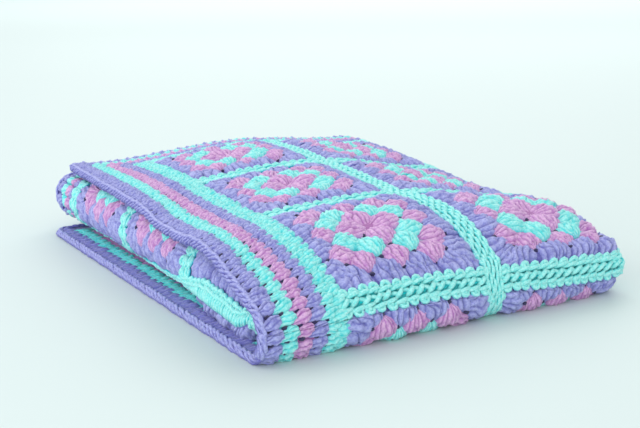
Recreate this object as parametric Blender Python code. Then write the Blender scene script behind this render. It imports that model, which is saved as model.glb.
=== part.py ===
"""Folded crochet blanket of joined granny squares, as one closed solid.

The cloth is mapped from its flat, square shape to its fold. `flat` runs across
the cloth from the free edge of the outer panel, and `along` runs lengthwise from
the middle row join, which lies on the front fold. The left third is tucked in,
the right third is laid over it, and the long strip is then folded in half.
In the fold, +X runs along the front fold, +Y to the back and +Z up.
"""

import math

import bmesh
import bpy
import numpy as np

# Cloth, in metres
SQUARE = 0.117
BORDER = 0.049
SQUARES_A_SIDE = 6
FLAT_SIDE = SQUARES_A_SIDE * SQUARE + 2 * BORDER
HALF_LENGTH = FLAT_SIDE / 2
CLOTH_THICKNESS = 0.0045
PILLOW_RISE = 0.0050
JOIN_SINK = 0.0010

# Fold, in metres
FRONT_PITCH = 0.0062
FOLD_LINE_Y = 0.010
FOLD_LINE_SHIFT = -0.0105
FOLD_LINE_TWIST = 0.0080
TOP_LAYER = 5.0
MID_LAYER = 2.5
FRONT_INNER = 0.65
FRONT_TUCKED = 1.50
FRONT_OUTER = 2.5
RIGHT_TURN = SQUARE * 2 + BORDER - 0.011
RIGHT_TURN_LENGTH = 0.0275
RIGHT_TURN_RADIUS = 0.010
FOLDED_WIDTH = 0.280
UPPER_DRIFT = 0.049
LOWER_STRETCH = 1.03
RECEDE_LENGTH = 0.046

# The roll at the left, where the inner panel turns back to the tucked panel
ROLL_RADIUS = 0.0155
ROLL_CENTRE = 0.0275
ROLL_LAYER = 2.55
ROLL_LEFTMOST_FLAT = 0.538
ROLL_DEPTH = 1.55
NEAR_ROLL_RADIUS = 0.0100
NEAR_ROLL_CENTRE = 0.0165
LOWER_CREASE_RADIUS = 0.0070
LOWER_CREASE_LENGTH = 0.0180
LOWER_CREASE_CENTRE = 0.0620
FRONT_CREASE_RADIUS = 0.0045
FRONT_CREASE_LENGTH = 0.0120
FRONT_CREASE_CENTRE = 0.0130
CREASE_FLAT = 0.523
CREASE_PINCH = 0.35
PINCH_HALF_WIDTH = 0.024
PINCH_END = 0.055
PINCH_FADE = 0.030

# Where the shape at the front fold passes into the shapes behind and below it, in metres
TWIST_START = 0.10
TWIST_LENGTH = 0.18
ROLL_OPENS_AT = 0.06
ROLL_OPENS_OVER = 0.08
ROLL_FLATS = (0.44, 0.62)
ROLL_FLAT_FADES = (0.03, 0.04)
ROLL_SINK_LENGTH = 0.040
SINK_START = 0.005
SINK_LENGTH = 0.085
SETTLE_LENGTH = 0.030

# Rounding of the cloth's corners, and where the squares' rise fades out, in metres
CORNER_RADIUS = 0.014
PILLOW_POWER = 0.5
PILLOW_END = RIGHT_TURN + 0.010
PILLOW_END_FADE = 0.020
PILLOW_START = -0.034

# Where the middle of the folded blanket lies
MIDDLE_X = 0.1505
MIDDLE_Y = 0.2024

# Extra height of the top of the stack over its height at the front fold.
# Columns: y from the fold line, at the free edge, border join, middle join, right fold
LIFT_ACROSS = (0.00, 0.05, 0.17, 0.28)
LIFT_ROWS = (
    (-0.012, 0.0000, 0.0000, 0.0000, 0.0000),
    (0.000, 0.0010, 0.0015, 0.0015, 0.0000),
    (0.010, 0.0050, 0.0075, 0.0085, 0.0030),
    (0.028, 0.0100, 0.0140, 0.0170, 0.0100),
    (0.055, 0.0180, 0.0212, 0.0232, 0.0135),
    (0.083, 0.0200, 0.0235, 0.0262, 0.0130),
    (0.113, 0.0170, 0.0230, 0.0270, 0.0112),
    (0.150, 0.0165, 0.0232, 0.0285, 0.0110),
    (0.190, 0.0210, 0.0243, 0.0307, 0.0135),
    (0.228, 0.0215, 0.0265, 0.0325, 0.0170),
    (0.280, 0.0215, 0.0255, 0.0335, 0.0200),
    (0.344, 0.0225, 0.0220, 0.0315, 0.0220),
    (0.392, 0.0240, 0.0190, 0.0250, 0.0190),
    (0.430, 0.0240, 0.0170, 0.0220, 0.0180),
)

COLOUR = (0.34, 0.30, 0.66, 1.0)
ROUGHNESS = 0.92


def ease(value):
    """Smooth step from 0 to 1."""
    value = np.clip(value, 0.0, 1.0)
    return value * value * (3.0 - 2.0 * value)


def turn(flats, centre, radius, levels, start, end, steps=8):
    """Rows of (flat, x, layer) along an elliptic arc of the section, angles in degrees.

    `levels` are the lowest and highest layer of the whole ellipse.
    """
    middle = (levels[0] + levels[1]) / 2
    depth = (levels[1] - levels[0]) / 2
    rows = []
    for step in range(steps + 1):
        part = step / steps
        angle = math.radians(start + (end - start) * part)
        flat = flats[0] + (flats[1] - flats[0]) * part
        rows.append((flat, centre + radius * math.cos(angle), middle + depth * math.sin(angle)))
    return rows


def crease(length, centre, radius, levels, start, end):
    """Rows of the narrow turn between the inner and the tucked panel."""
    flats = (CREASE_FLAT - length / 2, CREASE_FLAT + length / 2)
    return turn(flats, centre, radius, levels, start, end)


def outer_panel(layer):
    """Rows of the outer panel, from its free edge to the right turn."""
    places = ((0.0, 0.0), (BORDER, 0.0486), (BORDER + SQUARE, 0.1686), (0.250, 0.2490))
    return [(flat, x, layer) for flat, x in places]


def right_turn(outer, inner):
    """Rows of the right fold, from the outer to the inner panel."""
    flats = (RIGHT_TURN, RIGHT_TURN + RIGHT_TURN_LENGTH)
    start, end = (90, -90) if outer > inner else (-90, 90)
    levels = (min(outer, inner), max(outer, inner))
    return turn(flats, FOLDED_WIDTH - RIGHT_TURN_RADIUS, RIGHT_TURN_RADIUS, levels, start, end)


def upper_section():
    """Section of the upper half: outer panel, right turn, inner panel, roll, tucked panel."""
    roll_top = ROLL_LEFTMOST_FLAT + math.radians(90) * ROLL_RADIUS
    flats = (ROLL_LEFTMOST_FLAT - math.radians(110) * ROLL_RADIUS, roll_top)
    levels = (ROLL_LAYER - ROLL_DEPTH, ROLL_LAYER + ROLL_DEPTH)
    roll = turn(flats, ROLL_CENTRE, ROLL_RADIUS, levels, -70, -270, 14)
    neck = [(0.440, 0.1080, 3.0), (0.485, 0.0590, 2.95), (0.4945, 0.0490, 2.35),
            (0.5015, 0.0420, 1.60)]
    tucked = [(roll_top + 0.015, ROLL_CENTRE + 0.015, 4.03), (roll_top + 0.030, ROLL_CENTRE + 0.030, 4.0),
              (FLAT_SIDE, ROLL_CENTRE + FLAT_SIDE - roll_top, 4.0)]
    return np.array(outer_panel(5.0) + right_turn(5.0, 3.0) + [(0.320, 0.2480, 3.0)]
                    + neck + roll + tucked)


def near_section():
    """Section of the upper half just behind the front fold, its roll small and low."""
    neck = [(0.440, 0.0790, 3.0), (0.454, 0.0620, 3.0), (0.467, 0.0480, 2.9),
            (0.4777, 0.0380, 2.55), (0.489, 0.0310, 1.70), (0.4995, 0.0240, 0.85)]
    roll = turn((0.509, 0.529), NEAR_ROLL_CENTRE, NEAR_ROLL_RADIUS, (0.55, 2.3), -75, -205)
    tucked = [(0.539, 0.0130, 2.80), (0.551, 0.0230, 3.60), (0.563, 0.0350, 3.95),
              (0.578, 0.0500, 4.0), (FLAT_SIDE, 0.2650, 4.0)]
    return np.array(outer_panel(5.0) + right_turn(5.0, 3.0) + [(0.320, 0.2480, 3.0)]
                    + neck + roll + tucked)


def lower_section():
    """Section of the lower half, which lies flat under the upper one."""
    left = crease(LOWER_CREASE_LENGTH, LOWER_CREASE_CENTRE, LOWER_CREASE_RADIUS,
                  (1.0, 2.0), 90, 270)
    return np.array(outer_panel(0.0) + right_turn(0.0, 2.0) + [(0.320, 0.2480, 2.0)]
                    + left + [(0.545, 0.0740, 1.0), (FLAT_SIDE, 0.2650, 1.0)])


def front_section():
    """Section at the front fold, where the layers are counted outwards from its middle."""
    left = crease(FRONT_CREASE_LENGTH, FRONT_CREASE_CENTRE, FRONT_CREASE_RADIUS,
                  (FRONT_INNER, FRONT_TUCKED), 270, 90)
    return np.array(outer_panel(FRONT_OUTER) + right_turn(FRONT_OUTER, FRONT_INNER)
                    + [(0.320, 0.2480, FRONT_INNER)] + left
                    + [(0.540, 0.0230, FRONT_TUCKED), (FLAT_SIDE, 0.2620, FRONT_TUCKED)])


def row_slopes(keys, columns):
    """Slopes that keep the curve through the rows from overshooting them."""
    steps = np.diff(columns, axis=0) / np.diff(keys)[:, None]
    before, after = steps[:-1], steps[1:]
    same_way = before * after > 0
    total = np.where(same_way, before + after, 1.0)
    inner = np.where(same_way, 2 * before * after / total, 0.0)
    return np.concatenate([steps[:1], inner, steps[-1:]])


def smooth_rows(keys, columns, value):
    """Smooth curve through rows: keys is the first column, columns the rest."""
    value = np.clip(value, keys[0], keys[-1])
    low = np.clip(np.searchsorted(keys, value, side="right") - 1, 0, len(keys) - 2)
    slopes = row_slopes(keys, columns)
    step = (keys[low + 1] - keys[low])[..., None]
    t = (value - keys[low])[..., None] / step
    return ((2 * t**3 - 3 * t**2 + 1) * columns[low] + (t**3 - 2 * t**2 + t) * step * slopes[low]
            + (3 * t**2 - 2 * t**3) * columns[low + 1] + (t**3 - t**2) * step * slopes[low + 1])


UPPER = upper_section()
NEAR = near_section()
LOWER = lower_section()
FRONT = front_section()
LIFT = np.array(LIFT_ROWS)


def read_section(rows, flat):
    """x and layer of a section at the given places across the cloth."""
    found = smooth_rows(rows[:, 0], rows[:, 1:], flat)
    return found[..., 0], found[..., 1]


def lift(x, y):
    """Extra height of the top layer at a place in the fold."""
    columns = smooth_rows(LIFT[:, 0], LIFT[:, 1:], y)
    across = np.array(LIFT_ACROSS)
    x = np.clip(x, across[0], across[-1])
    low = np.clip(np.searchsorted(across, x, side="right") - 1, 0, len(across) - 2)
    part = ease((x - across[low]) / (across[low + 1] - across[low]))
    near = np.take_along_axis(columns, low[..., None], -1)[..., 0]
    far = np.take_along_axis(columns, low[..., None] + 1, -1)[..., 0]
    return near + (far - near) * part


def fold(flat, along):
    """Middle of the cloth, folded: arrays of places in the flat cloth to points."""
    flat, along = np.broadcast_arrays(np.asarray(flat, float), np.asarray(along, float))
    front_x, outwards = read_section(FRONT, flat)
    radius = outwards * FRONT_PITCH
    twist = FOLD_LINE_TWIST * ease((front_x - TWIST_START) / TWIST_LENGTH)
    past_fold = along - FOLD_LINE_SHIFT - twist
    upper = past_fold >= 0
    angle = np.clip(past_fold / radius, -math.pi / 2, math.pi / 2)
    run = np.maximum(np.abs(past_fold) - math.pi / 2 * radius, 0.0)
    run = np.where(upper, run, run * LOWER_STRETCH)
    y = np.where(run > 0, run, -radius * np.cos(angle))

    front_layer = MID_LAYER + outwards * np.sin(angle)
    near_x, near_layer = read_section(NEAR, flat)
    upper_x, upper_layer = read_section(UPPER, flat)
    lower_x, lower_layer = read_section(LOWER, flat)
    far = ease((run - ROLL_OPENS_AT) / ROLL_OPENS_OVER)
    upper_x = near_x + (upper_x - near_x) * far
    upper_layer = near_layer + (upper_layer - near_layer) * far
    in_roll = (ease((flat - ROLL_FLATS[0]) / ROLL_FLAT_FADES[0])
               * ease((ROLL_FLATS[1] - flat) / ROLL_FLAT_FADES[1]))
    bend = (run + np.maximum(angle, 0.0) * FRONT_PITCH) / ROLL_SINK_LENGTH
    sink = ease(bend) * in_roll + ease((run - SINK_START) / SINK_LENGTH) * (1 - in_roll)
    settle = ease(run / SETTLE_LENGTH)
    past_bend = np.where(upper, 0.0, run) + (math.pi / 2 - angle) * FRONT_PITCH
    recede = np.where(upper & (run > 0), 0.0, ease(past_bend / RECEDE_LENGTH))
    layer = np.where(upper, front_layer + (upper_layer - front_layer) * sink,
                     front_layer + (lower_layer - front_layer) * settle)
    x = np.where(upper, front_x + (upper_x - front_x) * sink, front_x)
    x = x + (lower_x - front_x) * recede
    drift = UPPER_DRIFT * np.maximum(y, 0.0)
    held = np.where(flat < RIGHT_TURN + RIGHT_TURN_LENGTH / 2, 1.0, np.clip(x / FOLDED_WIDTH, 0, 1))
    x = x + np.where(upper, drift * held, 0.0)
    z = CLOTH_THICKNESS / 2 + layer * (FRONT_PITCH + lift(x, y) / TOP_LAYER)
    return np.stack([x - MIDDLE_X, y + FOLD_LINE_Y - MIDDLE_Y, z], axis=-1)


def normals(surface, flat, along, step=0.0003):
    """Unit normals of a mapped surface, out of the blanket on its outer panel."""
    flat = np.clip(flat, 2 * step, FLAT_SIDE - 2 * step)
    across = surface(flat + step, along) - surface(flat - step, along)
    length = surface(flat, along + step) - surface(flat, along - step)
    normal = np.cross(across, length)
    return normal / np.linalg.norm(normal, axis=-1, keepdims=True)


def pillow(flat, along):
    """Rise of the squares over their joins, on the outer panel above the table."""
    across = (flat - BORDER) / SQUARE
    length = along / SQUARE
    inside = ((across > 0) & (across < SQUARES_A_SIDE) & (np.abs(length) < SQUARES_A_SIDE / 2))
    crown = np.abs(np.sin(math.pi * across) * np.sin(math.pi * length)) ** PILLOW_POWER
    rise = np.where(inside, PILLOW_RISE * crown - JOIN_SINK, 0.0)
    outer = ease((PILLOW_END - flat) / PILLOW_END_FADE)
    above = ease((along - PILLOW_START) / PILLOW_END_FADE)
    return rise * outer * above


def surface(flat, along):
    """Middle of the folded cloth with its pillowed squares."""
    rise = pillow(flat, along)[..., None]
    return fold(flat, along) + normals(fold, flat, along) * rise


def half_thickness(flat, along):
    """Half the cloth's thickness, less where the inner panels are pinched at the front."""
    near_crease = ease(1.0 - np.abs(flat - CREASE_FLAT) / PINCH_HALF_WIDTH)
    near_front = ease((PINCH_END - along) / PINCH_FADE)
    return CLOTH_THICKNESS / 2 * (1.0 - CREASE_PINCH * near_crease * near_front)


def round_corners(flat, along):
    """Places in the cloth with its square corners rounded off."""
    side = np.minimum(flat, FLAT_SIDE - flat)
    end = HALF_LENGTH - np.abs(along)
    a, b = CORNER_RADIUS - side, CORNER_RADIUS - end
    near = (a > 0) & (b > 0)
    shrink = np.where(near, np.maximum(a, b) / np.maximum(np.hypot(a, b), 1e-9), 1.0)
    side, end = CORNER_RADIUS - a * shrink, CORNER_RADIUS - b * shrink
    flat = np.where(near, np.where(flat < FLAT_SIDE / 2, side, FLAT_SIDE - side), flat)
    return flat, np.where(near, np.sign(along) * (HALF_LENGTH - end), along)


def on_table(points):
    """The points, none of them below the table."""
    return np.concatenate([points[..., :2], np.maximum(points[..., 2:], 0.0)], axis=-1)


def stations(*spans):
    """Places along one direction: spans are (start, end, steps) that meet."""
    places = [spans[0][0]]
    for start, end, steps in spans:
        places.extend(start + (end - start) * (step + 1) / steps for step in range(steps))
    return np.array(places)


def flat_stations():
    """Places across the cloth, closer where it turns."""
    first_join = BORDER
    right_end = RIGHT_TURN + RIGHT_TURN_LENGTH
    roll_start = 0.440
    roll_end = 0.563
    return stations((0.0, first_join, 3), (first_join, first_join + SQUARE, 6),
                    (first_join + SQUARE, RIGHT_TURN, 5), (RIGHT_TURN, right_end, 7),
                    (right_end, roll_start, 3), (roll_start, roll_end, 23),
                    (roll_end, FLAT_SIDE, 4))


def along_stations():
    """Places along the cloth, closer round the front fold."""
    return stations((-HALF_LENGTH, -0.052, 9), (-0.052, -0.034, 2), (-0.034, 0.018, 18),
                    (0.018, SQUARE, 8), (SQUARE, 3 * SQUARE, 12), (3 * SQUARE, HALF_LENGTH, 3))


def cloth_mesh(name):
    """Closed solid of the cloth: both faces of its grid, and the rim between them."""
    flat, along = round_corners(*np.meshgrid(flat_stations(), along_stations(), indexing="ij"))
    middle = surface(flat, along)
    half = normals(surface, flat, along) * half_thickness(flat, along)[..., None]
    across, length = flat.shape
    mesh = bmesh.new()
    top, bottom = (
        [mesh.verts.new(point) for point in on_table(face).reshape(-1, 3)]
        for face in (middle + half, middle - half))
    for i in range(across - 1):
        for j in range(length - 1):
            corner = i * length + j
            ring = (corner, corner + length, corner + length + 1, corner + 1)
            mesh.faces.new([top[k] for k in ring])
            mesh.faces.new([bottom[k] for k in reversed(ring)])
    rim = [i * length for i in range(across)]
    rim += [(across - 1) * length + j for j in range(1, length)]
    rim += [i * length + length - 1 for i in range(across - 2, -1, -1)]
    rim += list(range(length - 2, 0, -1))
    for here, there in zip(rim, rim[1:] + rim[:1]):
        mesh.faces.new((bottom[here], bottom[there], top[there], top[here]))
    bmesh.ops.recalc_face_normals(mesh, faces=mesh.faces)
    data = bpy.data.meshes.new(name)
    mesh.to_mesh(data)
    mesh.free()
    return data


def yarn_material(name):
    """Matt yarn in the blanket's main colour."""
    material = bpy.data.materials.new(name)
    material.use_nodes = True
    shader = material.node_tree.nodes["Principled BSDF"]
    shader.inputs["Base Color"].default_value = COLOUR
    shader.inputs["Roughness"].default_value = ROUGHNESS
    shader.inputs["Metallic"].default_value = 0.0
    return material


def clear_scene():
    for item in list(bpy.data.objects):
        bpy.data.objects.remove(item, do_unlink=True)


def build_blanket():
    """The one crocheted piece: joined squares and the border worked on to them."""
    data = cloth_mesh("granny_blanket")
    data.materials.append(yarn_material("cotton_yarn"))
    data.shade_smooth()
    blanket = bpy.data.objects.new("granny_blanket", data)
    bpy.context.scene.collection.objects.link(blanket)
    return blanket


clear_scene()
build_blanket()
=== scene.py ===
"""Looks of the folded granny square blanket: its stitches in yarn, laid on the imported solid's fold.

Every stitch is laid out on the flat cloth and then mapped to its fold, as the solid is.
`flat` runs across the cloth from the free edge of the outer panel, `along` lengthwise from
the row join on the front fold, and `height` out of the cloth, on the blanket's outside.
"""

import math

import bpy
import numpy as np
from mathutils import Matrix, Vector


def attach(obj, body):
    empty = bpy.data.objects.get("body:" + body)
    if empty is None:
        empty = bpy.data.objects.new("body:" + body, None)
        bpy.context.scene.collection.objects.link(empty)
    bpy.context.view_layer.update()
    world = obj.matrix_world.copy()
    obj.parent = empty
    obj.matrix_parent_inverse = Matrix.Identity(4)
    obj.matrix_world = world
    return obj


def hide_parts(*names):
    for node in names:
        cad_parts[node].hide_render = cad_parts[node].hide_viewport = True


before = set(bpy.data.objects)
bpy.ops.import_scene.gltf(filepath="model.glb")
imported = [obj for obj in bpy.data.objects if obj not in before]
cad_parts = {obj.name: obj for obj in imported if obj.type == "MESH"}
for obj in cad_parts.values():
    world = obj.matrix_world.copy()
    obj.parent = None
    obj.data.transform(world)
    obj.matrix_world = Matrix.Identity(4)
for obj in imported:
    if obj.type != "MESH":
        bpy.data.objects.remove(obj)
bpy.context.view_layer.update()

CM = 0.01
TINY = 1e-12

# Cloth, in metres
SQUARE = 0.117
BORDER = 0.049
SQUARES_A_SIDE = 6
FLAT_SIDE = SQUARES_A_SIDE * SQUARE + 2 * BORDER
HALF_LENGTH = FLAT_SIDE / 2
CLOTH_THICKNESS = 0.0045
PILLOW_RISE = 0.005
JOIN_SINK = 0.001

# Fold, in metres, as the solid has it
FRONT_PITCH = 0.0062
FOLD_LINE_Y = 0.01
FOLD_LINE_SHIFT = -0.0105
FOLD_LINE_TWIST = 0.008
TOP_LAYER = 5.0
MID_LAYER = 2.5
FRONT_INNER = 0.65
FRONT_TUCKED = 1.5
FRONT_OUTER = 2.5
RIGHT_TURN = SQUARE * 2 + BORDER - 0.011
RIGHT_TURN_LENGTH = 0.0275
RIGHT_TURN_RADIUS = 0.01
FOLDED_WIDTH = 0.28
UPPER_DRIFT = 0.049
LOWER_STRETCH = 1.03
RECEDE_ANGLE = 1.57
RECEDE_LENGTH = 0.046
ROLL_RADIUS = 0.0155
ROLL_CENTRE = 0.0275
ROLL_LAYER = 2.55
ROLL_LEFTMOST_FLAT = 0.538
ROLL_DEPTH = 1.55
NEAR_ROLL_RADIUS = 0.01
NEAR_ROLL_CENTRE = 0.0165
CREASE_FLAT = 0.523
# Length, centre and radius
LOWER_CREASE = (0.018, 0.062, 0.007)
FRONT_CREASE = (0.012, 0.013, 0.0045)

# Where the shape at the front fold passes into the shapes behind and below it, in metres
TWIST_START = 0.1
TWIST_LENGTH = 0.18
ROLL_OPENS_AT = 0.06
ROLL_OPENS_OVER = 0.08
ROLL_SPAN = (0.44, 0.03, 0.62, 0.04)
ROLL_SINK_LENGTH = 0.04
SINK_START = 0.005
SINK_LENGTH = 0.085
SETTLE_LENGTH = 0.03

# Rounding of the cloth's corners, and where the squares' rise fades out, in metres
CORNER_RADIUS = 0.014
PILLOW_POWER = 0.5
PILLOW_END = RIGHT_TURN + 0.01
PILLOW_START = -0.034
PILLOW_FADE = 0.02

# Where the middle of the folded blanket lies
MIDDLE_X = 0.1505
MIDDLE_Y = 0.2024

# Extra height of the top of the stack over its height at the front fold.
# Columns: y from the fold line, at the free edge, border join, middle join, right fold
LIFT_ACROSS = np.array((0.00, 0.05, 0.17, 0.28))
LIFT = np.array((
    (-0.012, 0.0000, 0.0000, 0.0000, 0.0000),
    (0.000, 0.0010, 0.0015, 0.0015, 0.0000),
    (0.010, 0.0050, 0.0075, 0.0085, 0.0030),
    (0.028, 0.0100, 0.0140, 0.0170, 0.0100),
    (0.055, 0.0180, 0.0212, 0.0232, 0.0135),
    (0.083, 0.0200, 0.0235, 0.0262, 0.0130),
    (0.113, 0.0170, 0.0230, 0.0270, 0.0112),
    (0.150, 0.0165, 0.0232, 0.0285, 0.0110),
    (0.190, 0.0210, 0.0243, 0.0307, 0.0135),
    (0.228, 0.0215, 0.0265, 0.0325, 0.0170),
    (0.280, 0.0215, 0.0255, 0.0335, 0.0200),
    (0.344, 0.0225, 0.0220, 0.0315, 0.0220),
    (0.392, 0.0240, 0.0190, 0.0250, 0.0190),
    (0.430, 0.0240, 0.0170, 0.0220, 0.0180),
))

# Unevenness of the real cloth, in metres: how far the even pattern is shifted on it, and where.
# A span is (start, length of the fade in, end, length of the fade out) of the place shifted,
# and a curve is a row of places across the cloth with a row of shifts or shares.
STRETCH = ((0.13, 0.166, 0.192, 0.213, 0.236, 0.258, 0.283, 0.31),
           (0.0, 0.0055, 0.006, 0.0105, 0.0165, 0.0175, 0.01, 0.0))
STRETCH_SPAN = (-0.003, 0.018, 0.13, 0.05)
BORDER_BULGE = 0.0036
BULGE = ((0.0, 0.02, 0.044, 0.075), (0.0, 0.8, 1.0, 0.0))
BULGE_MIDDLE = 0.022
BULGE_NEAR, BULGE_FAR = 0.026, 0.055
FRONT_PULL = 0.0026
PULL_FLAT_SPAN = (0.172, 0.02, 0.31, 0.02)
PULL_SPAN = (0.005, 0.02, 0.112, 0.06)
FRONT_JOIN_RISE = 0.0005
JOIN_RISE_REACH = 0.05
JOIN_RISE_END = 0.3
UNDER_JOIN_SLIDE = 0.0085
UNDER_SLIDE_SPAN = (-0.075, 0.05, -0.006, 0.012)
UNDER_SLIDE_END = 0.4
ROLL_SLIDE_NEAR = 0.012
ROLL_SLIDE_FAR = 0.005
ROLL_SLIDE_FADE = (0.16, 0.08)
ROLL_SLIDE_SPAN = (0.42, 0.06, 0.66, 0.06)
ROLL_BAND_TUCK = 0.009
BAND_TUCK_FLAT = (0.545, 0.03)
BAND_TUCK_START = (0.165, 0.045)


def ease(value):
    """Smooth step from 0 to 1."""
    value = np.clip(value, 0.0, 1.0)
    return value * value * (3.0 - 2.0 * value)


def blend(low, high, share):
    """Value between two."""
    return low + (high - low) * share


def unit(vectors):
    """The vectors' directions."""
    return vectors / np.maximum(np.linalg.norm(vectors, axis=-1, keepdims=True), TINY)


def within(value, start, fade_in, end, fade_out):
    """Share that rises to 1 after the span's start and falls to 0 before its end."""
    return ease((value - start) / fade_in) * ease((end - value) / fade_out)


def turn(flats, centre, radius, levels, start, end, steps=8):
    """Rows of (flat, x, layer) along an elliptic arc of the section, angles in degrees."""
    middle = (levels[0] + levels[1]) / 2
    depth = (levels[1] - levels[0]) / 2
    rows = []
    for step in range(steps + 1):
        part = step / steps
        angle = math.radians(start + (end - start) * part)
        flat = flats[0] + (flats[1] - flats[0]) * part
        rows.append((flat, centre + radius * math.cos(angle), middle + depth * math.sin(angle)))
    return rows


def crease(length, centre, radius, levels, start, end):
    """Rows of the narrow turn between the inner and the tucked panel."""
    flats = (CREASE_FLAT - length / 2, CREASE_FLAT + length / 2)
    return turn(flats, centre, radius, levels, start, end)


def start_rows(outer, inner):
    """Rows from the free edge over the outer panel and the right turn to the inner panel."""
    places = ((0.0, 0.0), (BORDER, 0.0486), (BORDER + SQUARE, 0.1686), (0.25, 0.249))
    flats = (RIGHT_TURN, RIGHT_TURN + RIGHT_TURN_LENGTH)
    start, end = (90, -90) if outer > inner else (-90, 90)
    turned = turn(flats, FOLDED_WIDTH - RIGHT_TURN_RADIUS, RIGHT_TURN_RADIUS,
                  sorted((outer, inner)), start, end)
    return [(flat, x, outer) for flat, x in places] + turned + [(0.32, 0.248, inner)]


# Sections, as rows of (flat, x, layer): the upper half, with its roll and the tucked panel
ROLL_TOP = ROLL_LEFTMOST_FLAT + math.radians(90) * ROLL_RADIUS
UPPER = np.array([
    *start_rows(5.0, 3.0), (0.44, 0.108, 3.0), (0.485, 0.059, 2.95), (0.4945, 0.049, 2.35),
    (0.5015, 0.042, 1.6),
    *turn((ROLL_LEFTMOST_FLAT - math.radians(110) * ROLL_RADIUS, ROLL_TOP), ROLL_CENTRE,
          ROLL_RADIUS, (ROLL_LAYER - ROLL_DEPTH, ROLL_LAYER + ROLL_DEPTH), -70, -270, 14),
    (ROLL_TOP + 0.015, ROLL_CENTRE + 0.015, 4.03), (ROLL_TOP + 0.03, ROLL_CENTRE + 0.03, 4.0),
    (FLAT_SIDE, ROLL_CENTRE + FLAT_SIDE - ROLL_TOP, 4.0),
])
# The upper half just behind the front fold, its roll small and low
NEAR = np.array([
    *start_rows(5.0, 3.0), (0.44, 0.079, 3.0), (0.454, 0.062, 3.0), (0.467, 0.048, 2.9),
    (0.4777, 0.038, 2.55), (0.489, 0.031, 1.7), (0.4995, 0.024, 0.85),
    *turn((0.509, 0.529), NEAR_ROLL_CENTRE, NEAR_ROLL_RADIUS, (0.55, 2.3), -75, -205),
    (0.539, 0.013, 2.8), (0.551, 0.023, 3.6), (0.563, 0.035, 3.95), (0.578, 0.05, 4.0),
    (FLAT_SIDE, 0.265, 4.0),
])
# The lower half, which lies flat under the upper one
LOWER = np.array([
    *start_rows(0.0, 2.0), *crease(*LOWER_CREASE, (1.0, 2.0), 90, 270),
    (0.545, 0.074, 1.0), (FLAT_SIDE, 0.265, 1.0),
])
# The front fold, where the layers are counted outwards from its middle
FRONT = np.array([
    *start_rows(FRONT_OUTER, FRONT_INNER),
    *crease(*FRONT_CREASE, (FRONT_INNER, FRONT_TUCKED), 270, 90),
    (0.54, 0.023, FRONT_TUCKED), (FLAT_SIDE, 0.262, FRONT_TUCKED),
])


def row_slopes(keys, columns):
    """Slopes that keep the curve through the rows from overshooting them."""
    steps = np.diff(columns, axis=0) / np.diff(keys)[:, None]
    before, after = steps[:-1], steps[1:]
    same_way = before * after > 0
    total = np.where(same_way, before + after, 1.0)
    inner = np.where(same_way, 2 * before * after / total, 0.0)
    return np.concatenate([steps[:1], inner, steps[-1:]])


def smooth_rows(rows, value):
    """Smooth curve through rows, read at values of their first column."""
    keys, columns = rows[:, 0], rows[:, 1:]
    value = np.clip(value, keys[0], keys[-1])
    low = np.clip(np.searchsorted(keys, value, side="right") - 1, 0, len(keys) - 2)
    slopes = row_slopes(keys, columns)
    step = (keys[low + 1] - keys[low])[..., None]
    t = (value - keys[low])[..., None] / step
    return ((2 * t**3 - 3 * t**2 + 1) * columns[low] + (t**3 - 2 * t**2 + t) * step * slopes[low]
            + (3 * t**2 - 2 * t**3) * columns[low + 1] + (t**3 - t**2) * step * slopes[low + 1])


def read_section(rows, flat):
    """x and layer of a section at the given places across the cloth."""
    return np.moveaxis(smooth_rows(rows, flat), -1, 0)


def lift(x, y):
    """Extra height of the top layer at a place in the fold."""
    columns = smooth_rows(LIFT, y)
    x = np.clip(x, LIFT_ACROSS[0], LIFT_ACROSS[-1])
    low = np.clip(np.searchsorted(LIFT_ACROSS, x, side="right") - 1, 0, len(LIFT_ACROSS) - 2)
    part = ease((x - LIFT_ACROSS[low]) / (LIFT_ACROSS[low + 1] - LIFT_ACROSS[low]))
    return blend(*(np.take_along_axis(columns, at[..., None], -1)[..., 0]
                   for at in (low, low + 1)), part)


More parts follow.
